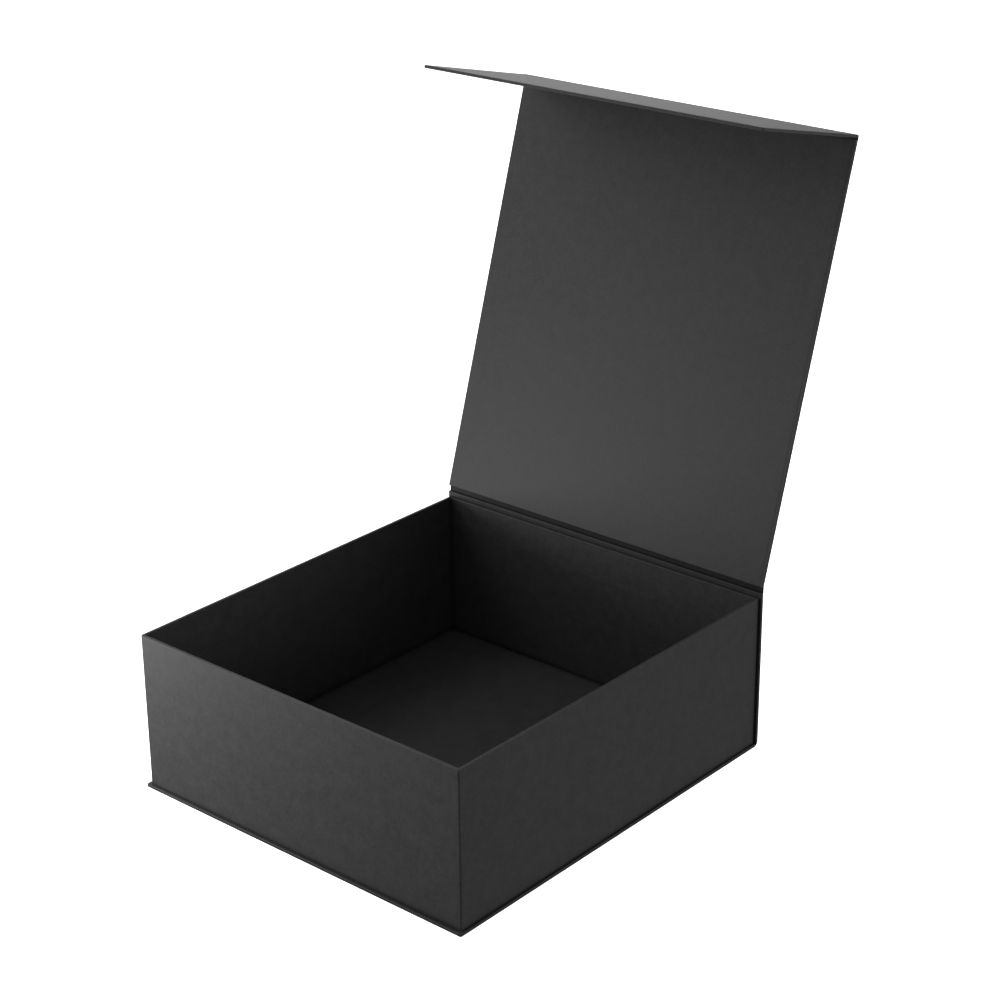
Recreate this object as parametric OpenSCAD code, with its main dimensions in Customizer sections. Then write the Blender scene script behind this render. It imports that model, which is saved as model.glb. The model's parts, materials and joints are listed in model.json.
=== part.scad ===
// Rigid gift box: a wrapped greyboard tray glued into a book-style case,
// whose lid ends in a front flap that magnets hold shut.
// Millimetres. Origin: middle of the tray, on the table under the base. +Z up, front faces -Y.
// The lid and the flap are drawn shut and then turned open about their folds.

/* [Tray] */
// Outside width of the tray, left to right
tray_w = 300; // [200:1:400]
// Outside depth of the tray, front to back
tray_d = 328; // [220:1:420]
// Height of the tray's rim above the table
rim_z = 121.5; // [80:0.5:180]
// How far the cover paper turns down inside the rim
rim_turn_in = 30; // [27:1:40]
// How far below the rim the wall lining stops
lining_drop = 25.5; // [15:0.5:29]
// Width of the cover paper that is turned under the tray
floor_turn_in = 15; // [10:1:25]
// Outer radius of the tray's upright corners
wall_corner = 1.2; // [0.6:0.1:1.8]

/* [Case] */
// How far the case stands out past each side of the tray
side_overhang = 2; // [1:0.1:4]
// How far the base stands out in front of the tray
front_overhang = 3; // [2.8:0.1:5]
// How far the base board stops short of the back of the tray
base_set_in = 1; // [0.5:0.1:2]
// Height of the spine's top edge above the rim
spine_rise = 3.9; // [3:0.1:5]
// How far the lid's back edge lies in from the back of the tray when shut
lid_set_in = 1.8; // [1:0.1:3]
// Width of the cover paper that is turned in round the case boards
case_turn_in = 15; // [10:1:25]
// Margin of turned-in paper left bare round the lid's and the flap's lining
lining_margin = 2.5; // [1.5:0.5:6]
// Outer radius of the base's and the flap's free corners
panel_corner = 1.5; // [0.6:0.1:2]

/* [Board and paper] */
// Thickness of the greyboard
board = 2; // [1.5:0.1:3]
// Thickness of the cover paper and of the lining paper
paper = 0.15; // [0.1:0.01:0.2]
// Thickness of the corner tape, and of the glue film beside it
tape = 0.1; // [0.05:0.01:0.15]
// Width of each leg of the corner tape
tape_leg = 12; // [8:1:20]

/* [Opening] */
// Angle of the lid, from shut
lid_open = 107.1; // [90:0.1:120]
// How much further than square the flap is folded while the lid is open
flap_relax = 3.8; // [0:0.1:6]
// Gap between the rim and the shut lid
lid_gap = 0.3; // [0.3:0.05:0.6]
// Gap between the base's lip and the shut flap
lip_gap = 0.4; // [0.3:0.05:1]
// Gap between the shut flap and the front wall
flap_gap = 0.75; // [0.5:0.05:1]
// How far the flap's fold lies below the outside of the lid
flap_drop = 0.45; // [0.3:0.05:0.8]
// Distance from the flap's fold to the edge of the flap's board
fold_margin = 0.6; // [0.5:0.1:1.5]
// Gap at each end of the paper strips that lie in the folds
fold_gap = 0.3; // [0.2:0.05:0.4]

/* [Magnets] */
// Diameter of the flap's magnets
magnet_d = 15; // [10:0.5:20]
// Thickness of the flap's magnets
magnet_t = 1.5; // [1:0.1:1.5]
// Diameter of the steel plates in the front wall
plate_d = 20; // [15:0.5:30]
// Thickness of the steel plates in the front wall
plate_t = 0.8; // [0.5:0.1:1]
// Distance from the middle of the box to each magnet
magnet_x = 85; // [50:1:95]
// Height of the magnets above the table when the flap is shut
magnet_z = 27; // [20:1:50]

/* [Hidden] */
PAPER = [0.2, 0.2, 0.2];
LINING = [0.15, 0.15, 0.15];
GREYBOARD = [0.55, 0.53, 0.5];
TAPE = [0.75, 0.68, 0.55];
STEEL = [0.7, 0.7, 0.72];
ROUND = 64;
POCKET_PLAY = 0.1;
CUT = 1;

// Tray
tray_x = tray_w / 2;
tray_y = tray_d / 2;
base_t = board + 2 * paper;
tray_floor = base_t + paper;
wall_out_x = tray_x - paper - tape;
wall_out_y = tray_y - paper - tape;
wall_in_x = wall_out_x - board;
wall_in_y = wall_out_y - board;
floor_top = tray_floor + board;
wall_top = rim_z - paper;
wall_turn_z = rim_z - rim_turn_in;
wall_lining_z = rim_z - lining_drop;

// Case panels: cover paper, board, turned-in paper, lining
panel_t = board + 3 * paper;
case_x = tray_x + side_overhang;
base_front = -(tray_y + front_overhang);
base_back = tray_y - base_set_in;
spine_out = tray_y + panel_t;
corner_r = spine_out - base_back;
spine_top = rim_z + spine_rise;
lid_in = rim_z + lid_gap;
lid_out = lid_in + panel_t;
lid_back = tray_y - lid_set_in;
lid_front = -tray_y;
flap_out = -(tray_y + flap_gap + panel_t);
flap_low = base_t + lip_gap;
flap_fold_z = lid_out - flap_drop;
flap_high = flap_fold_z - fold_margin;

// Folds, each as [y, z]
hinge = [spine_out - paper / 2, spine_top];
lid_edge = [lid_back, lid_out - paper / 2];
flap_crease = [lid_front, lid_out - paper / 2];
flap_fold = [flap_out + paper / 2, flap_fold_z];

// A box from its lowest corner to its highest corner
module slab(low, high) {
    translate(low) cube(high - low);
}

// An upright block of half widths x and y, whose four upright corners have radius r
module block(x, y, r, z0, z1) {
    translate([0, 0, z0]) linear_extrude(z1 - z0) {
        translate([-x, r - y]) square([2 * x, 2 * (y - r)]);
        translate([r - x, -y]) square([2 * (x - r), 2 * y]);
        for (sx = [-1, 1], sy = [-1, 1])
            translate([sx * (x - r), sy * (y - r)]) circle(r, $fn = ROUND);
    }
}

// An upright rectangular ring, t thick, measured to its outside, where its corners have radius r
module ring(x, y, t, z0, z1, r = 0) {
    difference() {
        if (r > 0) block(x, y, r, z0, z1);
        else slab([-x, -y, z0], [x, y, z1]);
        if (r > t) block(x - t, y - t, r - t, z0 - CUT, z1 + CUT);
        else slab([-x + t, -y + t, z0 - CUT], [x - t, y - t, z1 + CUT]);
    }
}

// A flat sheet in the gap between the folds a and b, each [y, z], from t0 to t1 off the line between them
module fold_strip(a, b, t0, t1) {
    along = (b - a) / norm(b - a);
    off = [-along[1], along[0]];
    start = a + along * fold_gap;
    end = b - along * fold_gap;
    rotate([90, 0, 90]) translate([0, 0, -case_x])
        linear_extrude(2 * case_x)
            polygon([start + off * t0, end + off * t0, end + off * t1, start + off * t1]);
}

// Turns what is drawn shut round a fold, [y, z]
module turned(fold, angle) {
    translate([0, fold[0], fold[1]]) rotate([angle, 0, 0]) translate([0, -fold[0], -fold[1]])
        children();
}

module lid_pose() {
    turned(hinge, -lid_open) children();
}

module flap_pose() {
    lid_pose() turned(flap_crease, flap_relax) children();
}

// Case panels are drawn flat: outside at z = 0, inside up, fold edges along X.
module lid_frame() {
    translate([0, 0, lid_out]) mirror([0, 0, 1]) children();
}

module spine_frame() {
    translate([0, spine_out, 0]) rotate([90, 0, 0]) children();
}

module flap_frame() {
    translate([0, flap_out, 0]) mirror([0, 1, 0]) rotate([90, 0, 0]) children();
}

// A flat panel of half width x; where wrapped is true, its corners at y0 have radius r
module panel(x, y0, y1, z0, z1, r, wrapped) {
    if (wrapped)
        translate([0, 0, z0]) linear_extrude(z1 - z0) {
            translate([-x, y0 + r]) square([2 * x, y1 - y0 - r]);
            translate([r - x, y0]) square([2 * (x - r), r]);
            for (side = [-1, 1])
                translate([side * (x - r), y0 + r]) circle(r, $fn = ROUND);
        }
    else
        slab([-x, y0, z0], [x, y1, z1]);
}

// A case panel's board between y0 and y1; its end at y0 is wrapped where wrapped is true
module panel_board(y0, y1, wrapped) {
    near = wrapped ? y0 + paper : y0;
    panel(case_x - paper, near, y1, paper, paper + board, panel_corner - paper, wrapped);
}

// The cover paper of a case panel: outside, edges and turned-in strips
module panel_paper(y0, y1, wrapped) {
    near = wrapped ? y0 + paper : y0 - CUT;
    window = wrapped ? y0 + case_turn_in : y0 - CUT;
    difference() {
        panel(case_x, y0, y1, 0, base_t, panel_corner, wrapped);
        panel(case_x - paper, near, y1 + CUT, paper, paper + board, panel_corner - paper, wrapped);
        slab([-case_x + case_turn_in, window, board], [case_x - case_turn_in, y1 + CUT, base_t + CUT]);
    }
}

// A lining sheet of half width x: it lies on the board inside the turned-in strips,
// and steps up by its own thickness to lie on them
module panel_lining(x, y0, y1, step_y) {
    step_x = case_x - case_turn_in;
    low = paper + board;
    inner_low = [-step_x + paper, step_y + paper, low - CUT];
    inner_high = [step_x - paper, y1 + CUT, panel_t + CUT];
    difference() {
        slab([-x, y0, low + paper], [x, y1, panel_t]);
        slab(inner_low, inner_high);
    }
    difference() {
        slab([-step_x, max(y0, step_y), low], [step_x, y1, panel_t]);
        slab([inner_low[0], inner_low[1], low + paper], inner_high);
    }
}

// Base
module base_board() {
    color(GREYBOARD) panel_board(base_front, base_back, true);
}

module base_cover_paper() {
    color(PAPER) panel_paper(base_front, base_back, true);
}

// The cover paper turning up from under the base to the back of the spine
module spine_corner_paper() {
    color(PAPER)
        translate([-case_x, base_back, corner_r]) rotate([90, 0, 90])
            linear_extrude(2 * case_x)
                difference() {
                    circle(corner_r, $fn = ROUND);
                    circle(corner_r - paper, $fn = ROUND);
                    translate([-2 * corner_r, -2 * corner_r]) square([2 * corner_r, 4 * corner_r]);
                    translate([-2 * corner_r, 0]) square([4 * corner_r, 2 * corner_r]);
                }
}

// Spine
module spine_board() {
    color(GREYBOARD) spine_frame() panel_board(corner_r, spine_top - paper, false);
}

module spine_cover_paper() {
    color(PAPER) spine_frame() panel_paper(corner_r, spine_top - paper, false);
}

// The spine's lining runs over the board's top edge, down into the fold
module spine_lining() {
    color(LINING) spine_frame() {
        panel_lining(case_x - paper, corner_r, spine_top, corner_r - CUT);
        slab([-case_x + paper, spine_top - paper, paper], [case_x - paper, spine_top, panel_t]);
    }
}

// Tray boards
module tray_floor_board() {
    color(GREYBOARD) slab([-wall_in_x, -wall_in_y, tray_floor], [wall_in_x, wall_in_y, floor_top]);
}

module end_wall() {
    slab([-wall_in_x, -wall_out_y, tray_floor], [wall_in_x, -wall_in_y, wall_top]);
}

// A side board; its outer corners are rounded where the paper goes round them
module side_wall() {
    intersection() {
        block(wall_out_x, wall_out_y, wall_corner - paper - tape, tray_floor, wall_top);
        slab([-wall_out_x, -wall_out_y, tray_floor], [-wall_in_x, wall_out_y, wall_top]);
    }
}

// A disc let into an upright board whose outside is at y, from its outside face inwards
module wall_disc(side, y, d, t) {
    translate([side * magnet_x, y, magnet_z]) rotate([-90, 0, 0]) cylinder(h = t, d = d, $fn = ROUND);
}

module tray_front_board() {
    color(GREYBOARD) difference() {
        end_wall();
        for (side = [-1, 1])
            wall_disc(side, -wall_out_y - CUT, plate_d + 2 * POCKET_PLAY, plate_t + CUT);
    }
}

module tray_back_board() {
    color(GREYBOARD) mirror([0, 1, 0]) end_wall();
}

module tray_left_board() {
    color(GREYBOARD) side_wall();
}

module tray_right_board() {
    color(GREYBOARD) mirror([1, 0, 0]) side_wall();
}

module steel_plate(side) {
    color(STEEL) wall_disc(side, -wall_out_y, plate_d, plate_t);
}

// Paper tape round the outside of one upright corner; sx and sy say which
module corner_tape(sx, sy) {
    color(TAPE) intersection() {
        ring(tray_x - paper, tray_y - paper, tape, tray_floor, wall_top, wall_corner - paper);
        translate([sx * (tray_x - tape_leg / 2), sy * (tray_y - tape_leg / 2), tray_floor])
            linear_extrude(wall_top - tray_floor) square(tape_leg + 2 * paper, center = true);
    }
}

// The tray's cover paper: outside, over the rim, down inside it, and turned under the floor
module tray_cover_paper() {
    inside_x = wall_in_x - paper;
    inside_y = wall_in_y - paper;
    color(PAPER) {
        ring(tray_x, tray_y, paper, base_t, rim_z, wall_corner);
        ring(tray_x, tray_y, tray_x - inside_x, wall_top, rim_z, wall_corner);
        ring(wall_in_x, wall_in_y, paper, wall_turn_z, rim_z);
        ring(tray_x, tray_y, floor_turn_in, base_t, tray_floor, wall_corner);
    }
}

// The wall lining lies on the boards and laps over the turned-in cover paper
module tray_wall_lining() {
    color(LINING) {
        ring(wall_in_x, wall_in_y, paper, floor_top, wall_turn_z);
        ring(wall_in_x, wall_in_y, 2 * paper, wall_turn_z - paper, wall_turn_z);
        ring(wall_in_x - paper, wall_in_y - paper, paper, wall_turn_z - paper, wall_lining_z);
    }
}

module tray_floor_lining() {
    edge_x = wall_in_x - paper;
    edge_y = wall_in_y - paper;
    color(LINING) slab([-edge_x, -edge_y, floor_top], [edge_x, edge_y, floor_top + paper]);
}

// Lid
module lid_board() {
    color(GREYBOARD) lid_pose() lid_frame() panel_board(lid_front + paper, lid_back - paper, false);
}

module lid_cover_paper() {
    color(PAPER) lid_pose() lid_frame() panel_paper(lid_front, lid_back, false);
}

// The lid's lining runs over both end edges of the board, down into the folds
module lid_lining() {
    x = case_x - lining_margin;
    color(LINING) lid_pose() lid_frame() {
        panel_lining(x, lid_front, lid_back, lid_front - CUT);
        slab([-case_x + paper, lid_front, paper], [case_x - paper, lid_front + paper, paper + board]);
        slab([-case_x + paper, lid_back - paper, paper], [case_x - paper, lid_back, paper + board]);
    }
}

module lid_hinge_cover_paper() {
    color(PAPER) lid_pose() fold_strip(lid_edge, hinge, -paper / 2, paper / 2);
}

module lid_hinge_lining() {
    color(LINING) lid_pose() fold_strip(lid_edge, hinge, -1.5 * paper, -paper / 2);
}

// Flap
module flap_hinge_cover_paper() {
    color(PAPER) flap_pose() fold_strip(flap_fold, flap_crease, -paper / 2, paper / 2);
}

module flap_hinge_lining() {
    color(LINING) flap_pose() fold_strip(flap_fold, flap_crease, -1.5 * paper, -paper / 2);
}

module flap_board() {
    color(GREYBOARD) flap_pose() difference() {
        flap_frame() panel_board(flap_low, flap_high, true);
        for (side = [-1, 1])
            wall_disc(side, flap_out + paper + board - magnet_t, magnet_d + 2 * POCKET_PLAY, magnet_t + CUT);
    }
}

module flap_cover_paper() {
    color(PAPER) flap_pose() {
        flap_frame() panel_paper(flap_low, flap_high, true);
        slab([-case_x, flap_out, flap_high - paper], [case_x, flap_out + paper, flap_fold_z - fold_gap]);
    }
}

module flap_lining() {
    x = case_x - lining_margin;
    color(LINING) flap_pose() flap_frame()
        panel_lining(x, flap_low + lining_margin, flap_high, flap_low + case_turn_in);
}

module flap_magnet(side) {
    color(STEEL) flap_pose() wall_disc(side, flap_out + paper + board - magnet_t, magnet_d, magnet_t);
}

base_board();
base_cover_paper();
spine_corner_paper();
spine_board();
spine_cover_paper();
spine_lining();
tray_floor_board();
tray_front_board();
tray_back_board();
tray_left_board();
tray_right_board();
corner_tape(-1, -1);  // corner_tape_front_left
corner_tape(1, -1);  // corner_tape_front_right
corner_tape(-1, 1);  // corner_tape_back_left
corner_tape(1, 1);  // corner_tape_back_right
tray_cover_paper();
tray_wall_lining();
tray_floor_lining();
steel_plate(-1);  // steel_plate_left
steel_plate(1);  // steel_plate_right
lid_board();
lid_cover_paper();
lid_lining();
lid_hinge_cover_paper();
lid_hinge_lining();
flap_hinge_cover_paper();
flap_hinge_lining();
flap_board();
flap_cover_paper();
flap_lining();
flap_magnet(-1);  // flap_magnet_left
flap_magnet(1);  // flap_magnet_right
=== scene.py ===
"""Looks of a rigid gift box: black paper wraps and linings over greyboard, and a plain studio.

The box is a wrapped tray glued into a book-style case. Papers are shaped on the shut box, where every
panel lies square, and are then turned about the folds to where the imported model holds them.
"""

import json
import logging
import math
from dataclasses import dataclass
from enum import Enum
from typing import Callable

import bmesh
import bpy
from mathutils import Matrix, Vector

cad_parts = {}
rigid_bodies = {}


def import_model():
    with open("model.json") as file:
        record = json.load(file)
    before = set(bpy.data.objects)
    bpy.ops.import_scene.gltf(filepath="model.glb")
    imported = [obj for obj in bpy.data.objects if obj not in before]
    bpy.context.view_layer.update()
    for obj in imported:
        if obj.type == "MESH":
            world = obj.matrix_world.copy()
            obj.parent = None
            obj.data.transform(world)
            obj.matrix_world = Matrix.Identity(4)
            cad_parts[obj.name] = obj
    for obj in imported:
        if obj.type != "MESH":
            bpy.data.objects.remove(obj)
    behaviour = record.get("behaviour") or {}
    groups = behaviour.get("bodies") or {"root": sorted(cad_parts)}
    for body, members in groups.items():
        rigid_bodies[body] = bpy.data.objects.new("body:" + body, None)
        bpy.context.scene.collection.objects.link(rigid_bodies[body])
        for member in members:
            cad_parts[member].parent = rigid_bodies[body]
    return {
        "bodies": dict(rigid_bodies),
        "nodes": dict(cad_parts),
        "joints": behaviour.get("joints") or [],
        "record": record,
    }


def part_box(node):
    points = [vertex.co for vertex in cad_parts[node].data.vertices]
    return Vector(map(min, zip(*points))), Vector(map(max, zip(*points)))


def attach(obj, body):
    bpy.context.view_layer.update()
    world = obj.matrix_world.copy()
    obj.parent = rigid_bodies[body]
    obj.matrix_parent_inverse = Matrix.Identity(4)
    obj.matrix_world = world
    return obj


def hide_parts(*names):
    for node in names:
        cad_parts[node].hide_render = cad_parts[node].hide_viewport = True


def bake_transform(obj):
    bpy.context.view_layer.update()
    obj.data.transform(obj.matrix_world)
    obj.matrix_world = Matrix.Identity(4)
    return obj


LOG = logging.getLogger("gift_box")
MM = 0.001
# An edge that folds by more than this is rounded.
SHARP = math.radians(25)
# Places closer than this, in metres, are the same place.
TOUCH = 1e-6
X_AXIS = Vector((1, 0, 0))
Y_AXIS = Vector((0, 1, 0))
Z_AXIS = Vector((0, 0, 1))

FaceTest = Callable[[Vector, Vector], bool]


def linear(hex_colour: str) -> tuple[float, float, float, float]:
    """Turns an sRGB hex colour into the linear colour that a shader takes.

    Args:
        hex_colour: six hex digits, such as "2b2b2c".

    Returns:
        Linear red, green and blue, and an alpha of 1.
    """
    values = [int(hex_colour[i:i + 2], 16) / 255 for i in (0, 2, 4)]
    red, green, blue = [v / 12.92 if v <= 0.04045 else ((v + 0.055) / 1.055) ** 2.4 for v in values]
    return red, green, blue, 1.0


def add_node(tree: bpy.types.NodeTree, kind: str, values: dict | None = None,
             links: dict | None = None, **settings: object) -> bpy.types.Node:
    """Adds one shader node.

    Args:
        tree: the node tree that gets it.
        kind: the node's type name.
        values: input socket name or number to the value set on it.
        links: input socket name or number to the output socket that feeds it.
        settings: properties set on the node itself.

    Returns:
        The new node.
    """
    node = tree.nodes.new(kind)
    for name, value in settings.items():
        setattr(node, name, value)
    for key, value in (values or {}).items():
        node.inputs[key].default_value = value
    for key, source in (links or {}).items():
        tree.links.new(source, node.inputs[key])
    return node


class Slot(Enum):
    """The record's material slots."""

    COVER = "cover_paper"
    LINING = "lining_paper"
    BOARD = "greyboard"
    TAPE = "corner_tape"
    PLATE = "steel_plate"
    MAGNET = "magnet"


# ---------------------------------------------------------------- finishes


@dataclass(frozen=True)
class Finish:
    """A surface, whose material is built when it is first asked for."""

    name: str

    def material(self) -> bpy.types.Material:
        """Builds the material.

        Returns:
            The material, or the one already built under this name.
        """
        if self.name in bpy.data.materials:
            return bpy.data.materials[self.name]
        made = bpy.data.materials.new(self.name)
        made.use_nodes = True
        tree = made.node_tree
        place = add_node(tree, "ShaderNodeTexCoord").outputs["Object"]
        self.dress(tree, tree.nodes["Principled BSDF"], place)
        return made

    def dress(self, tree: bpy.types.NodeTree, shader: bpy.types.Node, place: bpy.types.NodeSocket) -> None:
        """Adds the surface's pattern, colour and gloss.

        Args:
            tree: the material's node tree.
            shader: its shader node.
            place: the socket that gives the place on the piece.
        """
        raise NotImplementedError


@dataclass(frozen=True)
class DyedPaper(Finish):
    """Uncoated pulp-dyed black paper, about 120 g/m2, pressed on with animal glue.

    The dye is even, so the eye sees only the felt side's soft clouds and a few paler fibre ends. It is
    matt face on, and it takes a faint pale gloss at a low angle, strongest where an edge has been rubbed.
    Its colour also carries painted shade: it is darkened wherever another surface lies within a few
    millimetres, in corners, creases and the gaps between parts.
    """

    name: str = "black uncoated cover paper"
    shade: str = "1c1c1d"
    fibre: str = "343435"
    rubbed: str = "424244"
    # The near-black colour of the painted shade in corners, creases and gaps.
    painted_shade: str = "080808"
    cloud_mm: float = 9.0
    mottle_mm: float = 2.2
    tooth_mm: float = 0.45
    tooth_height_mm: float = 0.035
    edge_mm: float = 0.9
    # How far from a nearby surface the painted shade reaches.
    shade_reach_mm: float = 6.0
    roughness: tuple[float, float] = (0.56, 0.68)
    specular: float = 0.32
    sheen: float = 0.04

    def dress(self, tree: bpy.types.NodeTree, shader: bpy.types.Node, place: bpy.types.NodeSocket) -> None:
        """Adds the felt's pattern, the dye and the paper's tooth.

        Args:
            tree: the material's node tree.
            shader: its shader node.
            place: the socket that gives the place on the piece.
        """
        cloud = add_node(tree, "ShaderNodeTexNoise", {"Scale": 1 / (self.cloud_mm * MM), "Detail": 2.0},
                         {"Vector": place})
        mottle = add_node(tree, "ShaderNodeTexNoise",
                          {"Scale": 1 / (self.mottle_mm * MM), "Detail": 4.0, "Roughness": 0.62,
                           "Distortion": 0.6}, {"Vector": place})
        tooth = add_node(tree, "ShaderNodeTexNoise",
                         {"Scale": 1 / (self.tooth_mm * MM), "Detail": 3.0, "Roughness": 0.7},
                         {"Vector": place})
        felt = add_node(tree, "ShaderNodeMix", {0: 0.35},
                        {2: mottle.outputs["Fac"], 3: cloud.outputs["Fac"]}, data_type="FLOAT")
        patch = add_node(tree, "ShaderNodeMix", {0: 0.4},
                         {2: felt.outputs[0], 3: tooth.outputs["Fac"]}, data_type="FLOAT")
        gloss = add_node(tree, "ShaderNodeMapRange",
                         {"From Min": 0.3, "From Max": 0.7, "To Min": self.roughness[0],
                          "To Max": self.roughness[1]}, {"Value": patch.outputs[0]})
        height = add_node(tree, "ShaderNodeMix", {0: 0.5},
                          {2: tooth.outputs["Fac"], 3: mottle.outputs["Fac"]}, data_type="FLOAT")
        relief = add_node(tree, "ShaderNodeBump",
                          {"Strength": 1.0, "Distance": self.tooth_height_mm * MM},
                          {"Height": height.outputs[0]})
        tree.links.new(self.colour(tree, patch.outputs[0]), shader.inputs["Base Color"])
        tree.links.new(gloss.outputs["Result"], shader.inputs["Roughness"])
        tree.links.new(relief.outputs["Normal"], shader.inputs["Normal"])
        shader.inputs["Specular IOR Level"].default_value = self.specular
        shader.inputs["Sheen Weight"].default_value = self.sheen
        shader.inputs["Sheen Roughness"].default_value = 0.4

    def colour(self, tree: bpy.types.NodeTree, patch: bpy.types.NodeSocket) -> bpy.types.NodeSocket:
        """Dyes the paper, paler along its rubbed edges, with painted shade darkening it where other surfaces
        are near.

        Args:
            tree: the material's node tree.
            patch: the socket that gives the felt's pattern.

        Returns:
            The socket that gives the colour.
        """
        spread = add_node(tree, "ShaderNodeMapRange", {"From Min": 0.36, "From Max": 0.64}, {"Value": patch})
        dyed = add_node(tree, "ShaderNodeMix", {6: linear(self.shade), 7: linear(self.fibre)},
                        {0: spread.outputs["Result"]}, data_type="RGBA")
        rounded = add_node(tree, "ShaderNodeBevel", {"Radius": self.edge_mm * MM}, samples=4)
        facing = add_node(tree, "ShaderNodeNewGeometry")
        bend = add_node(tree, "ShaderNodeVectorMath", {},
                        {0: rounded.outputs["Normal"], 1: facing.outputs["Normal"]},
                        operation="DOT_PRODUCT")
        edge = add_node(tree, "ShaderNodeMapRange",
                        {"From Min": 0.99, "From Max": 0.80, "To Min": 0.0, "To Max": 0.55},
                        {"Value": bend.outputs["Value"]})
        worn = add_node(tree, "ShaderNodeMix", {7: linear(self.rubbed)},
                        {0: edge.outputs["Result"], 6: dyed.outputs[2]}, data_type="RGBA")
        # Painted shade: an ambient-occlusion mask darkens the colour in corners, creases and the gaps
        # between parts.
        nearness = add_node(tree, "ShaderNodeAmbientOcclusion", {"Distance": self.shade_reach_mm * MM}, samples=6)
        open_air = add_node(tree, "ShaderNodeMapRange", {"From Min": 0.55, "From Max": 0.85},
                            {"Value": nearness.outputs["AO"]})
        painted_shade = add_node(tree, "ShaderNodeMix", {6: linear(self.painted_shade)},
                         {0: open_air.outputs["Result"], 7: worn.outputs[2]}, data_type="RGBA")
        return painted_shade.outputs[2]


@dataclass(frozen=True)
class Greyboard(Finish):
    """Bare greyboard: recycled pulp pressed into a 2 mm sheet, with paler and darker flecks of old paper."""

    name: str = "pressed recycled greyboard"
    pulp: str = "8c877f"
    fleck: str = "6c675f"
    pale: str = "a8a299"
    fleck_mm: float = 1.3
    cloud_mm: float = 12.0
    relief_mm: float = 0.05

    def dress(self, tree: bpy.types.NodeTree, shader: bpy.types.Node, place: bpy.types.NodeSocket) -> None:
        """Adds the clouds of pulp, the flecks and their relief.

        Args:
            tree: the material's node tree.
            shader: its shader node.
            place: the socket that gives the place on the piece.
        """
        flecks = add_node(tree, "ShaderNodeTexNoise",
                          {"Scale": 1 / (self.fleck_mm * MM), "Detail": 5.0, "Roughness": 0.7},
                          {"Vector": place})
        cloud = add_node(tree, "ShaderNodeTexNoise", {"Scale": 1 / (self.cloud_mm * MM), "Detail": 3.0},
                         {"Vector": place})
        base = add_node(tree, "ShaderNodeMix", {6: linear(self.pulp), 7: linear(self.pale)},
                        {0: cloud.outputs["Fac"]}, data_type="RGBA")
        dark = add_node(tree, "ShaderNodeMapRange", {"From Min": 0.56, "From Max": 0.68},
                        {"Value": flecks.outputs["Fac"]})
        colour = add_node(tree, "ShaderNodeMix", {7: linear(self.fleck)},
                          {0: dark.outputs["Result"], 6: base.outputs[2]}, data_type="RGBA")
        relief = add_node(tree, "ShaderNodeBump", {"Distance": self.relief_mm * MM},
                          {"Height": flecks.outputs["Fac"]})
        tree.links.new(colour.outputs[2], shader.inputs["Base Color"])
        tree.links.new(relief.outputs["Normal"], shader.inputs["Normal"])
        shader.inputs["Roughness"].default_value = 0.92


@dataclass(frozen=True)
class KraftTape(Finish):
    """Gummed kraft paper tape: long brown fibres laid mostly one way, with a dull machine finish."""

    name: str = "gummed kraft paper tape"
    kraft: str = "a8865f"
    dark: str = "8a6a47"
    fibre_mm: float = 0.8
    relief_mm: float = 0.02
    stretch: float = 0.15

    def dress(self, tree: bpy.types.NodeTree, shader: bpy.types.Node, place: bpy.types.NodeSocket) -> None:
        """Adds the fibres, which run up the corner.

        Args:
            tree: the material's node tree.
            shader: its shader node.
            place: the socket that gives the place on the piece.
        """
        along = add_node(tree, "ShaderNodeMapping", {"Scale": (1.0, 1.0, self.stretch)}, {"Vector": place})
        fibres = add_node(tree, "ShaderNodeTexNoise",
                          {"Scale": 1 / (self.fibre_mm * MM), "Detail": 4.0}, {"Vector": along.outputs[0]})
        colour = add_node(tree, "ShaderNodeMix", {6: linear(self.kraft), 7: linear(self.dark)},
                          {0: fibres.outputs["Fac"]}, data_type="RGBA")
        relief = add_node(tree, "ShaderNodeBump", {"Distance": self.relief_mm * MM},
                          {"Height": fibres.outputs["Fac"]})
        tree.links.new(colour.outputs[2], shader.inputs["Base Color"])
        tree.links.new(relief.outputs["Normal"], shader.inputs["Normal"])
        shader.inputs["Roughness"].default_value = 0.75


@dataclass(frozen=True)
class PlatedMetal(Finish):
    """Stamped or ground metal under thin plating: even grey, with fine drawing lines and a soft shine."""

    bright: str
    dull: str
    roughness: tuple[float, float]
    line_mm: float = 0.25
    stretch: float = 0.08

    def dress(self, tree: bpy.types.NodeTree, shader: bpy.types.Node, place: bpy.types.NodeSocket) -> None:
        """Adds the drawing lines, in the colour and in the shine.

        Args:
            tree: the material's node tree.
            shader: its shader node.
            place: the socket that gives the place on the piece.
        """
        drawn = add_node(tree, "ShaderNodeMapping", {"Scale": (self.stretch, 1.0, 1.0)}, {"Vector": place})
        lines = add_node(tree, "ShaderNodeTexNoise", {"Scale": 1 / (self.line_mm * MM), "Detail": 3.0},
                         {"Vector": drawn.outputs[0]})
        colour = add_node(tree, "ShaderNodeMix", {6: linear(self.bright), 7: linear(self.dull)},
                          {0: lines.outputs["Fac"]}, data_type="RGBA")
        gloss = add_node(tree, "ShaderNodeMapRange",
                         {"To Min": self.roughness[0], "To Max": self.roughness[1]},
                         {"Value": lines.outputs["Fac"]})
        tree.links.new(colour.outputs[2], shader.inputs["Base Color"])
        tree.links.new(gloss.outputs["Result"], shader.inputs["Roughness"])
        shader.inputs["Metallic"].default_value = 1.0


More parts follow.
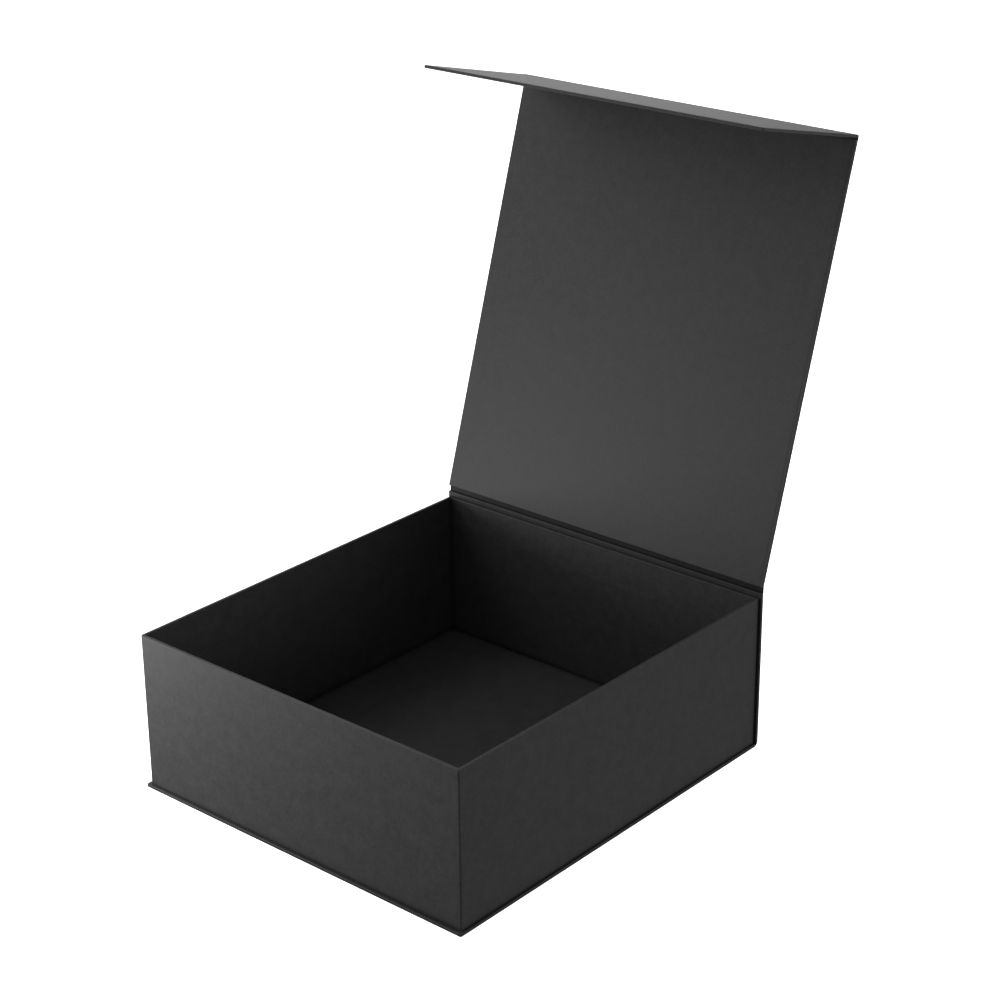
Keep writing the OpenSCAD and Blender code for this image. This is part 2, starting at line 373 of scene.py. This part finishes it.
@dataclass(frozen=True)
class FloorPaint(Finish):
    """Rolled matt white emulsion: nearly even, with the roller's soft orange-peel."""

    name: str = "rolled matt white emulsion"
    white: str = "f5f5f4"
    hollow: str = "f1f1f0"
    peel_mm: float = 8.333

    def dress(self, tree: bpy.types.NodeTree, shader: bpy.types.Node, place: bpy.types.NodeSocket) -> None:
        """Adds the orange-peel.

        Args:
            tree: the material's node tree.
            shader: its shader node.
            place: the socket that gives the place on the floor.
        """
        peel = add_node(tree, "ShaderNodeTexNoise", {"Scale": 1 / (self.peel_mm * MM), "Detail": 2.0},
                        {"Vector": place})
        colour = add_node(tree, "ShaderNodeMix", {6: linear(self.hollow), 7: linear(self.white)},
                          {0: peel.outputs["Fac"]}, data_type="RGBA")
        tree.links.new(colour.outputs[2], shader.inputs["Base Color"])
        shader.inputs["Roughness"].default_value = 0.85
        shader.inputs["Specular IOR Level"].default_value = 0.2


COVER_PAPER = DyedPaper()
LINING_PAPER = DyedPaper(name="black uncoated lining paper", shade="1b1b1c", fibre="333334",
                         mottle_mm=1.8, edge_mm=0.8)
# The lining in the hinge's groove: a darker copy of the lining whose colour is painted shade for the groove,
# with less gloss.
GROOVE_SHADE_PAPER = DyedPaper(name="black lining paper with painted groove shade", shade="171718", fibre="262627",
                          rubbed="333334", specular=0.2, sheen=0.0)
# Pickled strip under zinc: a cool, half-dull grey.
ZINC_STEEL = PlatedMetal("zinc plated steel strip", "b9bcc0", "8f9398", (0.32, 0.5))
# Ground neodymium under nickel: warmer and brighter, with short grinding marks.
NICKEL = PlatedMetal("nickel plated magnet", "cfcac0", "a9a59c", (0.18, 0.32), stretch=0.5)

# The finish of each slot that stays visible as it was packed.
CORE_FINISHES = {
    Slot.BOARD: Greyboard(),
    Slot.TAPE: KraftTape(),
    Slot.PLATE: ZINC_STEEL,
    Slot.MAGNET: NICKEL,
}


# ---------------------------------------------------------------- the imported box, shut and open


class FoldedFrame:
    """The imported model, with the turns that carry the shut box to the pose it is packed in."""

    def __init__(self, frame: dict) -> None:
        """Reads the folds.
        """
        self.nodes = frame["nodes"]
        self.slots = {part["node"]: Slot(part["material_slot"]) for part in frame["record"]["subparts"]}
        joints = {joint["name"]: joint for joint in frame["joints"]}
        ratio = frame["record"]["behaviour"]["couplings"][0]["ratio"]
        shut = math.radians(joints["lid_hinge"]["range_deg"][0])
        self.hinge = Vector(joints["lid_hinge"]["pos_m"])
        self.crease = Vector(joints["flap_crease"]["pos_m"])
        self.fold = Vector(joints["flap_hinge"]["pos_m"])
        raised = self.turn(joints["lid_hinge"], -shut)
        relaxed = self.turn(joints["flap_crease"], -ratio * shut) @ raised
        self.opening = {"root": Matrix.Identity(4), "lid": raised, "flap_strip": relaxed, "flap": relaxed}

    @staticmethod
    def turn(joint: dict, angle: float) -> Matrix:
        """Returns the turn by an angle about a joint's axis, where the joint is packed."""
        pivot = Matrix.Translation(Vector(joint["pos_m"]))
        return pivot @ Matrix.Rotation(angle, 4, Vector(joint["axis"])) @ pivot.inverted()

    def shut(self, body: str, point: Vector) -> Vector:
        """Returns where a packed point of a body lies on the shut box."""
        return self.opening[body].inverted() @ point

    def span(self, node: str, body: str) -> tuple[Vector, Vector]:
        """Measures a node on the shut box.

        Args:
            node: the CAD node.
            body: the body that it rides on.

        Returns:
            Its lowest and its highest corner.
        """
        points = [self.shut(body, vertex.co) for vertex in self.nodes[node].data.vertices]
        low = Vector([min(p[i] for p in points) for i in range(3)])
        high = Vector([max(p[i] for p in points) for i in range(3)])
        return low, high


# ---------------------------------------------------------------- paper


class Form:
    """A paper or panel surface while it is shaped, in metres."""

    def __init__(self) -> None:
        """Starts with an empty mesh and no leading edge."""
        self.mesh = bmesh.new()
        self.lead: list[bmesh.types.BMEdge] = []

    def rule(self, start: Vector, end: Vector) -> "Form":
        """Starts a sheet as one straight edge, from start to end, which leads."""
        self.lead = [self.mesh.edges.new([self.mesh.verts.new(start), self.mesh.verts.new(end)])]
        return self

    def pick(self, test: Callable[[Vector], bool]) -> "Form":
        """Makes the edges whose ends both pass a test lead."""
        self.lead = [e for e in self.mesh.edges if all(test(v.co) for v in e.verts)]
        return self

    def draw(self, offset: Vector, steps: int = 1) -> "Form":
        """Draws the sheet straight on from its leading edges.

        Args:
            offset: how far it is drawn.
            steps: rows of faces on the way.

        Returns:
            This form.
        """
        for _ in range(steps):
            made = bmesh.ops.extrude_edge_only(self.mesh, edges=self.lead)["geom"]
            verts = [g for g in made if isinstance(g, bmesh.types.BMVert)]
            bmesh.ops.translate(self.mesh, vec=offset / steps, verts=verts)
            self.lead = [g for g in made if isinstance(g, bmesh.types.BMEdge)]
        return self

    def bend(self, pivot: Vector, angle: float, steps: int) -> "Form":
        """Draws the sheet on from its leading edges, round an axis along X.

        Args:
            pivot: a point on the axis.
            angle: how far it goes round.
            steps: rows of faces on the way.

        Returns:
            This form.
        """
        spun = bmesh.ops.spin(self.mesh, geom=self.lead, cent=pivot, axis=X_AXIS, dvec=Vector((0, 0, 0)),
                              angle=angle, steps=steps, use_merge=False, use_duplicate=False)
        self.lead = [g for g in spun["geom_last"] if isinstance(g, bmesh.types.BMEdge)]
        return self

    def face(self, outward: Vector) -> "Form":
        """Makes the faces agree, with the outermost one along a direction looking that way.

        Args:
            outward: the direction.

        Returns:
            This form.
        """
        bmesh.ops.recalc_face_normals(self.mesh, faces=self.mesh.faces[:])
        outermost = max(self.mesh.faces, key=lambda f: f.calc_center_median().dot(outward))
        if outermost.normal.dot(outward) < 0:
            self.turn_over()
        return self

    def block(self, low: Vector, high: Vector) -> "Form":
        """Adds a closed block.

        Args:
            low: its lowest corner.
            high: its highest corner.

        Returns:
            This form.
        """
        made = bmesh.ops.create_cube(self.mesh, size=1.0)
        matrix = Matrix.Translation((low + high) / 2) @ Matrix.Diagonal((*(high - low), 1.0))
        bmesh.ops.transform(self.mesh, matrix=matrix, verts=made["verts"])
        self.mesh.normal_update()
        return self

    def cut(self, axis: Vector, *places: float) -> "Form":
        """Cuts the mesh across, keeping both sides.

        Args:
            axis: the direction that the cuts are square to.
            places: where along that axis each cut lies.

        Returns:
            This form.
        """
        for place in places:
            whole = [*self.mesh.verts, *self.mesh.edges, *self.mesh.faces]
            bmesh.ops.bisect_plane(self.mesh, geom=whole, dist=TOUCH, plane_co=axis * place, plane_no=axis)
        self.mesh.normal_update()
        return self

    def drop(self, test: FaceTest) -> "Form":
        """Deletes the faces whose centre and normal pass a test.

        Args:
            test: takes a face's centre and its normal.

        Returns:
            This form.
        """
        faces = [f for f in self.mesh.faces if test(f.calc_center_median(), f.normal)]
        bmesh.ops.delete(self.mesh, geom=faces, context="FACES")
        return self

    def shift(self, offset: Vector, test: Callable[[Vector], bool]) -> "Form":
        """Moves the vertices that pass a test.

        Args:
            offset: how far they move.
            test: takes a vertex's place.

        Returns:
            This form.
        """
        verts = [v for v in self.mesh.verts if test(v.co)]
        bmesh.ops.translate(self.mesh, vec=offset, verts=verts)
        return self

    def round_corners(self, radius: float, segments: int, test: Callable[[Vector], bool]) -> "Form":
        """Rounds the upright edges whose middle passes a test.

        Args:
            radius: the rounding's radius.
            segments: faces across each rounding.
            test: takes an edge's middle.

        Returns:
            This form.
        """
        upright = [e for e in self.mesh.edges if (e.verts[0].co - e.verts[1].co).xy.length < TOUCH]
        edges = [e for e in upright if test((e.verts[0].co + e.verts[1].co) / 2)]
        bmesh.ops.bevel(self.mesh, geom=edges, offset=radius, segments=segments, profile=0.5,
                        affect="EDGES", material=-1, clamp_overlap=True)
        self.mesh.normal_update()
        return self

    def soften(self, radius: float, segments: int = 3) -> "Form":
        """Rounds every sharp edge between two faces.

        Args:
            radius: the rounding's radius.
            segments: faces across each rounding.

        Returns:
            This form.
        """
        edges = [e for e in self.mesh.edges if len(e.link_faces) == 2 and e.calc_face_angle() > SHARP]
        bmesh.ops.bevel(self.mesh, geom=edges, offset=radius, segments=segments, profile=0.5,
                        affect="EDGES", material=-1, clamp_overlap=True)
        return self

    def turn_over(self) -> "Form":
        """Turns every face round, for a surface that is seen from inside."""
        bmesh.ops.reverse_faces(self.mesh, faces=self.mesh.faces[:])
        return self

    def place(self, matrix: Matrix) -> "Form":
        """Moves the whole form."""
        bmesh.ops.transform(self.mesh, matrix=matrix, verts=self.mesh.verts[:])
        return self

    def weld(self) -> "Form":
        """Merges vertices that lie on each other."""
        bmesh.ops.remove_doubles(self.mesh, verts=self.mesh.verts[:], dist=TOUCH)
        return self


@dataclass
class PaperWork:
    """Makes finished paper pieces of the box out of forms."""

    frame: FoldedFrame
    thickness_mm: float = 0.15
    edge_radius_mm: float = 0.34

    @property
    def paper(self) -> float:
        """The paper's thickness, in metres."""
        return self.thickness_mm * MM

    @property
    def radius(self) -> float:
        """The radius that the paper takes round a board's edge, in metres."""
        return self.edge_radius_mm * MM

    def piece(self, form: Form, name: str, finish: DyedPaper, slot: Slot,
              replaces: tuple[str, ...]) -> bpy.types.Object:
        """Turns a form into a sheet with its real thickness, under the form's own surface.

        Args:
            form: the outer surface, faces outwards.
            name: the piece's name.
            finish: the paper.
            slot: the record's slot for that paper; not used.
            replaces: the CAD nodes that it stands for.

        Returns:
            The new object, which rides on nothing yet.
        """
        form.weld()
        data = bpy.data.meshes.new(name)
        form.mesh.to_mesh(data)
        form.mesh.free()
        data.polygons.foreach_set("use_smooth", [True] * len(data.polygons))
        data.materials.append(finish.material())
        made = bpy.data.objects.new(name, data)
        bpy.context.scene.collection.objects.link(made)
        thick = made.modifiers.new("paper thickness", "SOLIDIFY")
        thick.thickness = self.paper
        thick.offset = -1.0
        thick.use_even_offset = True
        shading = made.modifiers.new("flat panels", "WEIGHTED_NORMAL")
        shading.keep_sharp = True
        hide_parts(*replaces)
        LOG.info("%s: %d faces, for %s", name, len(data.polygons), ", ".join(replaces))
        return made


# ---------------------------------------------------------------- sub-assemblies


@dataclass
class Tray:
    """The open tray: its cover paper, and the linings of its walls and floor."""

    work: PaperWork
    rim_turn_in_mm: float = 30.0
    floor_turn_in_mm: float = 15.0
    lining_step_mm: float = 1.0
    corner_mm: float = 1.2
    corner_steps: int = 5

    def build(self) -> None:
        """Makes the tray's papers."""
        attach(self.cover(), "root")
        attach(self.wall_lining(), "root")
        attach(self.floor_lining(), "root")

    def cover(self) -> bpy.types.Object:
        """Wraps the walls: up the outside, over the rim and down inside, and under the floor.

        Returns:
            The tray's cover paper.
        """
        low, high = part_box("tray_cover_paper")
        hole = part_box("tray_wall_lining")[1] - Vector((self.work.paper, self.work.paper, 0))
        window = high - Vector((1, 1, 0)) * self.floor_turn_in_mm * MM
        form = Form().block(low, high)
        form.round_corners(self.corner_mm * MM, self.corner_steps, lambda middle: True)
        for place in (hole, window):
            form.cut(X_AXIS, -place.x, place.x)
            form.cut(Y_AXIS, -place.y, place.y)
        form.drop(lambda c, n: n.z < -0.5 and abs(c.x) < window.x and abs(c.y) < window.y)
        form.drop(lambda c, n: n.z > 0.5 and abs(c.x) < hole.x and abs(c.y) < hole.y)
        form.pick(lambda p: p.z > high.z - TOUCH
                  and abs(max(abs(p.x) - hole.x, abs(p.y) - hole.y)) < TOUCH)
        form.draw(-Z_AXIS * self.rim_turn_in_mm * MM)
        form.face(Z_AXIS)
        form.soften(self.work.radius)
        return self.work.piece(form, "tray_cover", COVER_PAPER, Slot.COVER, ("tray_cover_paper",))

    def wall_lining(self) -> bpy.types.Object:
        """Lines the walls, with the step where the lining climbs on to the turned-in cover paper.

        Returns:
            The wall lining.
        """
        low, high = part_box("tray_wall_lining")
        paper = self.work.paper
        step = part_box("tray_cover_paper")[1].z - self.rim_turn_in_mm * MM
        inner = Vector((paper, paper, 0))
        form = Form().block(low + inner, high - inner)
        form.drop(lambda centre, normal: abs(normal.z) > 0.5)
        form.cut(Z_AXIS, step - self.lining_step_mm * MM, step)
        for axis, side in ((X_AXIS, 1), (X_AXIS, -1), (Y_AXIS, 1), (Y_AXIS, -1)):
            outward = axis * side
            form.shift(-outward * paper, lambda p: p.dot(outward) > 0.1 and p.z > step - TOUCH)
        form.turn_over()
        form.mesh.normal_update()
        form.soften(self.work.radius)
        return self.work.piece(form, "tray_wall_lining_sheet", LINING_PAPER, Slot.LINING,
                               ("tray_wall_lining",))

    def floor_lining(self) -> bpy.types.Object:
        """Lays the floor lining.

        Returns:
            The floor lining.
        """
        low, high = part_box("tray_floor_lining")
        form = Form().block(low, high)
        form.drop(lambda centre, normal: normal.z < 0.5)
        return self.work.piece(form, "tray_floor_lining_sheet", LINING_PAPER, Slot.LINING,
                               ("tray_floor_lining",))


@dataclass
class CasePanel:
    """One wrapped board of the case, drawn flat: outside at z = 0, inside up, folds along X.

    near and far are the panel's two ends along Y, in metres; near_wrapped says that the cover paper
    goes round the board there.
    """

    work: PaperWork
    half_width: float
    near: float
    far: float
    near_wrapped: bool
    board_mm: float = 2.0
    turn_in_mm: float = 15.0
    step_mm: float = 1.2
    corner_mm: float = 1.5
    corner_steps: int = 6

    def cover(self) -> Form:
        """Wraps the board: outside, edges and turned-in strips.

        Returns:
            The wrap's outer surface.
        """
        height = self.board_mm * MM + 2 * self.work.paper
        window_x = self.half_width - self.turn_in_mm * MM
        window_y = self.near + self.turn_in_mm * MM if self.near_wrapped else self.near
        form = Form().block(Vector((-self.half_width, self.near, 0)),
                            Vector((self.half_width, self.far, height)))
        form.drop(lambda c, n: n.y > 0.5 or (n.y < -0.5 and not self.near_wrapped))
        if self.near_wrapped:
            form.round_corners(self.corner_mm * MM, self.corner_steps,
                               lambda middle: middle.y < self.near + MM)
            form.cut(Y_AXIS, window_y)
        form.cut(X_AXIS, -window_x, window_x)
        form.drop(lambda c, n: n.z > 0.5 and abs(c.x) < window_x and c.y > window_y)
        return form.soften(self.work.radius)

    def lining(self, margin: float, near_margin: float) -> Form:
        """Lines the inside: flat on the turned-in paper, and a step lower on the bare board.

        Args:
            margin: bare turned-in paper left at each side.
            near_margin: the same at the near end.

        Returns:
            The lining's upper surface.
        """
        paper = self.work.paper
        top = self.board_mm * MM + 3 * paper
        x = self.half_width - margin
        y = self.near + near_margin
        edge_x = self.half_width - self.turn_in_mm * MM
        edge_y = self.near + self.turn_in_mm * MM
        slope = self.step_mm * MM
        form = Form().block(Vector((-x, y, 0)), Vector((x, self.far, top)))
        form.drop(lambda c, n: n.z < 0.5)
        form.cut(X_AXIS, -edge_x, -edge_x + slope, edge_x - slope, edge_x)
        lowered = edge_y + slope if self.near_wrapped else self.near - MM
        if self.near_wrapped:
            form.cut(Y_AXIS, edge_y, lowered)
        form.shift(-Z_AXIS * paper, lambda p: abs(p.x) < edge_x - slope + TOUCH and p.y > lowered - TOUCH)
        return form


@dataclass
class Case:
    """The part of the case that stays put: base, rounded back corner and spine."""

    work: PaperWork
    corner_steps: int = 10

    def build(self) -> None:
        """Makes the base's and the spine's papers."""
        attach(self.cover(), "root")
        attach(self.spine_lining(), "root")

    def cover(self) -> bpy.types.Object:
        """Joins the base's wrap, the paper round the back corner and the spine's wrap into one sheet.

        Returns:
            The fixed part of the case's cover paper.
        """
        low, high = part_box("base_cover_paper")
        spine_low, spine_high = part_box("spine_cover_paper")
        base = CasePanel(self.work, high.x, low.y, high.y, near_wrapped=True)
        form = base.cover()
        corner = spine_low.z
        form.pick(lambda p: abs(p.y - high.y) < TOUCH and p.z < TOUCH)
        form.bend(Vector((0, high.y, corner)), math.pi / 2, self.corner_steps)
        spine = CasePanel(self.work, spine_high.x, corner, spine_high.z, near_wrapped=False).cover()
        spine.place(spine_frame(spine_high.y))
        data = bpy.data.meshes.new("spine_part")
        spine.mesh.to_mesh(data)
        spine.mesh.free()
        form.mesh.from_mesh(data)
        bpy.data.meshes.remove(data)
        form.weld()
        form.face(-Z_AXIS)
        return self.work.piece(form, "case_cover", COVER_PAPER, Slot.COVER,
                               ("base_cover_paper", "spine_corner_paper", "spine_cover_paper"))

    def spine_lining(self) -> bpy.types.Object:
        """Lines the spine's inner face and its top edge.

        Returns:
            The spine's lining.
        """
        low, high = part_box("spine_lining")
        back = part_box("spine_cover_paper")[1].y
        panel = CasePanel(self.work, high.x, low.z, high.z, near_wrapped=False)
        form = panel.lining(0.0, 0.0).place(spine_frame(back))
        form.pick(lambda p: abs(p.z - high.z) < TOUCH)
        form.draw(Y_AXIS * (high.y - low.y))
        form.shift(-Y_AXIS * self.work.paper, lambda p: p.y > high.y + self.work.paper / 2)
        form.face(-Y_AXIS)
        form.soften(self.work.radius)
        return self.work.piece(form, "spine_lining_sheet", LINING_PAPER, Slot.LINING, ("spine_lining",))


def spine_frame(back: float) -> Matrix:
    """Returns the turn that stands a flat panel up as the spine, its outside at y = back."""
    return Matrix.Translation((0, back, 0)) @ Matrix.Rotation(math.pi / 2, 4, "X")


def lid_frame(top: float) -> Matrix:
    """Returns the turn that lays a flat panel upside down as the shut lid, its outside at z = top."""
    return Matrix.Translation((0, 0, top)) @ Matrix.Scale(-1, 4, Z_AXIS)


def flap_frame(front: float) -> Matrix:
    """Returns the turn that stands a flat panel up as the shut flap, its outside at y = front."""
    return Matrix(((1, 0, 0, 0), (0, 0, 1, front), (0, 1, 0, 0), (0, 0, 0, 1)))


@dataclass
class Lid:
    """The lid panel and the paper in its hinge fold."""

    work: PaperWork
    lining_margin_mm: float = 2.5
    strip_steps: int = 12

    def build(self) -> None:
        """Makes the lid's papers and its hinge."""
        low, high = self.work.frame.span("lid_cover_paper", "lid")
        panel = CasePanel(self.work, high.x, low.y, high.y, near_wrapped=False)
        stand = self.work.frame.opening["lid"] @ lid_frame(high.z)
        cover = self.cover(panel).place(stand)
        cover.turn_over()
        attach(self.work.piece(cover, "lid_cover", COVER_PAPER, Slot.COVER, ("lid_cover_paper",)), "lid")
        lining = self.lining(panel).place(stand)
        lining.turn_over()
        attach(self.work.piece(lining, "lid_lining_sheet", LINING_PAPER, Slot.LINING, ("lid_lining",)),
                "lid")
        self.hinge(high)

    def cover(self, panel: CasePanel) -> Form:
        """Wraps the lid, and covers its board's ends with the turned-in paper beside the lining.

        Args:
            panel: the lid's panel.

        Returns:
            The wrap's outer surface, drawn flat.
        """
        form = panel.cover()
        height = max(v.co.z for v in form.mesh.verts)
        side = panel.half_width - self.lining_margin_mm * MM
        form.cut(X_AXIS, -side, side)
        for end in (panel.near, panel.far):
            form.pick(lambda p: abs(p.y - end) < TOUCH and p.z > height - TOUCH and abs(p.x) > side - TOUCH)
            form.draw(-Z_AXIS * (height - self.work.paper))
        return form.face(-Z_AXIS)

    def lining(self, panel: CasePanel) -> Form:
        """Lines the lid and runs down over both end edges of its board, into the folds.

        Args:
            panel: the lid's panel.

        Returns:
            The lining's surface, drawn flat.
        """
        form = panel.lining(self.lining_margin_mm * MM, 0.0)
        depth = panel.board_mm * MM + 2 * self.work.paper
        for end in (panel.near, panel.far):
            form.pick(lambda p: abs(p.y - end) < TOUCH)
            form.draw(-Z_AXIS * depth)
        form.shift(Z_AXIS * self.work.paper, lambda p: p.z < 0.5 * self.work.paper)
        form.face(Z_AXIS)
        return form.soften(self.work.radius)

    def hinge(self, lid_high: Vector) -> None:
        """Makes the two papers of the hinge, which roll between the spine and the lid.

        Args:
            lid_high: the shut lid's highest corner.
        """
        frame = self.work.frame
        paper = self.work.paper
        edge = frame.opening["lid"] @ Vector((0, lid_high.y, lid_high.z - paper / 2))
        start = Vector((0, frame.hinge.y, frame.hinge.z))
        for name, finish, slot, node, rise in (
                ("lid_hinge_cover", COVER_PAPER, Slot.COVER, "lid_hinge_cover_paper", paper / 2),
                # The hinge lining takes the darker lining, painted with the groove's shade.
                ("lid_hinge_lining_sheet", GROOVE_SHADE_PAPER, Slot.LINING, "lid_hinge_lining", -paper / 2)):
            form = fold_strip(lid_high.x, start, edge, rise, self.strip_steps)
            made = self.work.piece(form, name, finish, slot, (node,))
            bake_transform(made)


def fold_strip(half_width: float, start: Vector, end: Vector, rise: float, steps: int) -> Form:
    """Draws the flat paper that spans a fold.

    Args:
        half_width: half its length along the fold.
        start: the fold's first edge, on the neutral line.
        end: the fold's second edge.
        rise: how far the sheet's outer surface lies outside the neutral line.
        steps: rows of faces across it.

    Returns:
        The strip's outer surface.
    """
    outward = (end - start).normalized().cross(X_AXIS)
    first = start + outward * rise
    form = Form().rule(first - X_AXIS * half_width, first + X_AXIS * half_width)
    return form.draw(end - start, steps).face(outward)


@dataclass
class Flap:
    """The flap panel and the paper in its two folds."""

    work: PaperWork
    lining_margin_mm: float = 2.5
    bend_radius_mm: float = 0.8
    bend_steps: int = 8

    def build(self) -> None:
        """Makes the flap's papers and its fold."""
        low, high = self.work.frame.span("flap_cover_paper", "flap")
        board = self.work.frame.span("flap_board", "flap")[1]
        panel = CasePanel(self.work, high.x, low.z, board.z, near_wrapped=True)
        stand = self.work.frame.opening["flap"] @ flap_frame(low.y)
        cover = panel.cover().place(stand)
        cover.turn_over()
        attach(self.work.piece(cover, "flap_cover", COVER_PAPER, Slot.COVER, ("flap_cover_paper",)),
                "flap")
        margin = self.lining_margin_mm * MM
        lining = panel.lining(margin, margin).place(stand)
        lining.turn_over()
        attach(self.work.piece(lining, "flap_lining_sheet", LINING_PAPER, Slot.LINING, ("flap_lining",)),
                "flap")
        self.fold(low, board)

    def fold(self, low: Vector, board: Vector) -> None:
        """Makes the papers that run from the lid's edge over the flap's top edge.

        Args:
            low: the shut flap's lowest corner; not used.
            board: the flap board's highest corner.
        """
        frame = self.work.frame
        paper = self.work.paper
        crease = frame.shut("flap_strip", frame.crease)
        fold = frame.shut("flap_strip", frame.fold)
        for name, finish, slot, node, inset in (
                ("flap_fold_cover", COVER_PAPER, Slot.COVER, "flap_hinge_cover_paper", 0.0),
                ("flap_fold_lining_sheet", LINING_PAPER, Slot.LINING, "flap_hinge_lining", paper)):
            form = self.bent_strip(board.x + paper, crease, fold, board.z, inset)
            form.place(frame.opening["flap"])
            made = self.work.piece(form, name, finish, slot, (node,))
            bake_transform(made)

    def bent_strip(self, half_width: float, crease: Vector, fold: Vector, bottom: float,
                   inset: float) -> Form:
        """Draws the strip from the crease over the fold and down to the flap's board.

        Args:
            half_width: half its length along the fold.
            crease: the edge at the lid, on the shut box.
            fold: the fold's line, on the shut box.
            bottom: where the flap's own wrap begins.
            inset: how far the sheet lies inside the cover paper.

        Returns:
            The strip's outer surface, on the shut box.
        """
        along = (fold - crease).normalized()
        outward = along.cross(X_AXIS)
        bend = self.bend_radius_mm * MM
        angle = math.pi / 2 - math.atan2(-along.z, -along.y)
        reach = (fold - crease).length - bend * math.tan(angle / 2)
        first = crease + outward * (self.work.paper / 2 - inset)
        form = Form().rule(first - X_AXIS * half_width, first + X_AXIS * half_width)
        form.draw(along * reach)
        form.bend(crease + along * reach - outward * bend, angle, self.bend_steps)
        low = min(v.co.z for v in form.mesh.verts)
        form.draw(Z_AXIS * (bottom - inset - low))
        return form.face(outward)


@dataclass
class Core:
    """What the papers hide: greyboards, corner tapes, steel plates and magnets."""

    frame: FoldedFrame

    def build(self) -> None:
        """Gives every carried-over node its real finish."""
        for name, node in self.frame.nodes.items():
            if node.hide_render:
                continue
            finish = CORE_FINISHES[self.frame.slots[name]]
            node.data.materials.clear()
            node.data.materials.append(finish.material())
            LOG.info("%s: %s", name, finish.name)


# ---------------------------------------------------------------- studio


@dataclass(frozen=True)
class SoftBox:
    """A rectangular soft light.

    azimuth and elevation are seen from the box's middle, in degrees; azimuth 0 is in front of the box
    and 90 to its right. The size and the distance are in metres and the power in watts. A light that is
    floor_only neither lights the box nor casts its shadow.
    """

    name: str
    azimuth: float
    elevation: float
    distance: float
    width: float
    height: float
    power: float
    aim: tuple[float, float, float] = (0.0, 0.0, 0.15)
    floor_only: bool = False

    def build(self) -> bpy.types.Object:
        """Hangs the light.

        Returns:
            The light's object.
        """
        turn, rise = math.radians(self.azimuth), math.radians(self.elevation)
        back = Vector((math.sin(turn) * math.cos(rise), -math.cos(turn) * math.cos(rise), math.sin(rise)))
        data = bpy.data.lights.new(self.name, "AREA")
        data.shape = "RECTANGLE"
        data.size, data.size_y = self.width, self.height
        data.energy = self.power
        made = bpy.data.objects.new(self.name, data)
        made.location = Vector(self.aim) + back * self.distance
        made.rotation_euler = (-back).to_track_quat("-Z", "Y").to_euler()
        made.visible_camera = False
        bpy.context.scene.collection.objects.link(made)
        return made


@dataclass
class Studio:
    """The floor, the lights, the surroundings and the camera."""

    lens_mm: float = 84.51
    sensor_mm: float = 36.0
    eye: tuple[float, float, float] = (1.01455, -1.12221, 0.85242)
    azimuth: float = 40.85
    elevation: float = 22.965
    roll: float = -0.475
    floor_size: float = 30.0
    surround: str = "a2a2a2"
    lights: tuple[SoftBox, ...] = (
        SoftBox("key", -60.0, 35.0, 0.9, 0.4, 0.4, 1.4),
        SoftBox("front_fill", -45.0, 45.0, 2.2, 1.2, 1.2, 4.5),
        SoftBox("overhead", 0.0, 88.0, 2.2, 1.6, 1.6, 3.2),
        SoftBox("back_left", -140.0, 12.0, 2.2, 1.2, 0.9, 8.0),
        SoftBox("back_right", 120.0, 10.0, 2.2, 1.6, 0.7, 15.0),
        SoftBox("wall_left", -60.0, 5.0, 0.35, 0.2, 0.2, 2.5, (-0.15, -0.164, 0.08)),
        SoftBox("wall_front", -40.0, 10.0, 0.4, 0.25, 0.2, 1.0, (-0.15, -0.164, 0.1)),
        SoftBox("flap_left", -80.0, 30.0, 0.45, 0.3, 0.3, 0.5, (-0.1, 0.2, 0.45)),
        SoftBox("floor_wash", 0.0, 89.0, 10.0, 24.0, 24.0, 5000.0, floor_only=True),
    )

    def build(self) -> None:
        """Makes the whole studio."""
        scene = bpy.context.scene
        scene.view_settings.view_transform = "Standard"
        scene.world = bpy.data.worlds.new("studio surroundings")
        scene.world.use_nodes = True
        scene.world.node_tree.nodes["Background"].inputs["Color"].default_value = linear(self.surround)
        floor = self.floor()
        for light in self.lights:
            made = light.build()
            if light.floor_only:
                receivers = bpy.data.collections.new("floor only")
                receivers.objects.link(floor)
                made.light_linking.receiver_collection = receivers
                made.light_linking.blocker_collection = receivers
        scene.camera = self.camera()

    def floor(self) -> bpy.types.Object:
        """Lays a plain pale floor.

        Returns:
            The floor.
        """
        mesh = bmesh.new()
        bmesh.ops.create_grid(mesh, x_segments=1, y_segments=1, size=self.floor_size / 2)
        data = bpy.data.meshes.new("studio_floor")
        mesh.to_mesh(data)
        mesh.free()
        data.materials.append(FloorPaint().material())
        made = bpy.data.objects.new("studio_floor", data)
        made.visible_diffuse = False
        made.visible_glossy = False
        bpy.context.scene.collection.objects.link(made)
        return made

    def camera(self) -> bpy.types.Object:
        """Sets up the camera.

        Returns:
            The camera.
        """
        turn, rise, roll = (math.radians(a) for a in (self.azimuth, self.elevation, self.roll))
        back = Vector((math.sin(turn) * math.cos(rise), -math.cos(turn) * math.cos(rise), math.sin(rise)))
        level = Vector((math.cos(turn), math.sin(turn), 0))
        upright = back.cross(level)
        right = level * math.cos(roll) + upright * math.sin(roll)
        up = upright * math.cos(roll) - level * math.sin(roll)
        data = bpy.data.cameras.new("studio_camera")
        data.sensor_width = self.sensor_mm
        data.lens = self.lens_mm
        data.clip_end = 100.0
        made = bpy.data.objects.new("studio_camera", data)
        made.matrix_world = (Matrix.Translation(self.eye)
                             @ Matrix((right, up, back)).transposed().to_4x4())
        bpy.context.scene.collection.objects.link(made)
        return made


# ---------------------------------------------------------------- making it all


def main() -> None:
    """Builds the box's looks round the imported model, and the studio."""
    logging.basicConfig(level=logging.INFO, format="%(message)s")
    frame = FoldedFrame(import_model())
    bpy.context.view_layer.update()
    work = PaperWork(frame)
    Tray(work).build()
    Case(work).build()
    Lid(work).build()
    Flap(work).build()
    Core(frame).build()
    Studio().build()


if __name__ == "__main__":
    main()
